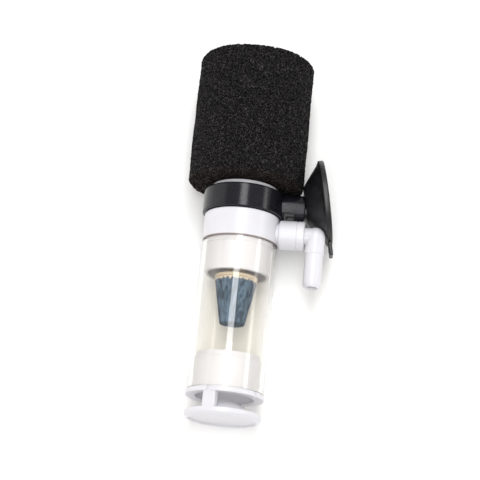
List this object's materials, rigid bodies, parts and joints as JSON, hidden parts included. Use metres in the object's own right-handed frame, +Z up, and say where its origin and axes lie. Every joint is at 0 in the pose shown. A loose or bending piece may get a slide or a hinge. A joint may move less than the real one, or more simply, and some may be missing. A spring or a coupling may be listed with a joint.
{
  "type": "sponge filter",
  "caption": "Small air-driven aquarium sponge filter: foam sleeve on a slotted core, clear riser tube with an air stone, side air nipple, suction cup on a turning ring, outlet disc.",
  "frame": {"origin": "bottom centre of the bounding box, on the table that the filter lies on", "axes": "+Y along the riser tube towards the sponge (the tube rises 4 degrees from level), +X towards the air port and suction cup, +Z up from the table"},
  "size_m": [0.0402, 0.0998, 0.032],
  "materials": {
    "black_foam": "open-cell foam",
    "white_plastic": "glossy moulded",
    "cream_plastic": "matt moulded",
    "black_plastic": "semi-gloss moulded",
    "black_rubber": "satin rubber",
    "clear_acrylic": "clear polished",
    "blue_stone": "fine ribbed mineral"
  },
  "bodies": {
    "housing": {"housing": "white_plastic", "port_collar": "white_plastic", "seal_ring": "black_rubber", "strainer_core": "white_plastic", "stone_holder": "cream_plastic"},
    "sponge": {"sponge": "black_foam"},
    "ring": {"suction_ring": "black_plastic"},
    "cup": {"suction_cup": "black_rubber"},
    "elbow": {"air_elbow": "white_plastic"},
    "tube": {"clear_tube": "clear_acrylic"},
    "outlet": {"outlet_cap": "white_plastic"},
    "stone": {"air_stone": "blue_stone"}
  },
  "joints": [
    {"name": "sponge_slide", "type": "slide", "parent": "housing", "child": "sponge", "axis": [0, 0.9976, 0.0698], "range_m": [0, 0.03]},
    {"name": "ring_turn", "type": "hinge", "parent": "housing", "child": "ring", "pos_m": [-0.00482, 0.00906, 0.01399], "axis": [0, 0.9976, 0.0698], "range_deg": [0, 285]},
    {"name": "cup_pull", "type": "slide", "parent": "ring", "child": "cup", "axis": [0.9976, 0.0049, -0.0696], "range_m": [0, 0.004]},
    {"name": "elbow_swivel", "type": "hinge", "parent": "housing", "child": "elbow", "pos_m": [-0.00482, 0.00127, 0.01344], "axis": [0.9945, -0.0073, 0.1043], "range_deg": [-90, 30]},
    {"name": "tube_slide", "type": "slide", "parent": "housing", "child": "tube", "axis": [0, -0.9976, -0.0698], "range_m": [0, 0.024]},
    {"name": "outlet_slide", "type": "slide", "parent": "tube", "child": "outlet", "axis": [0, -0.9976, -0.0698], "range_m": [0, 0.011]},
    {"name": "stone_slide", "type": "slide", "parent": "housing", "child": "stone", "axis": [0, -0.9976, -0.0698], "range_m": [0, 0.0065]}
  ]
}
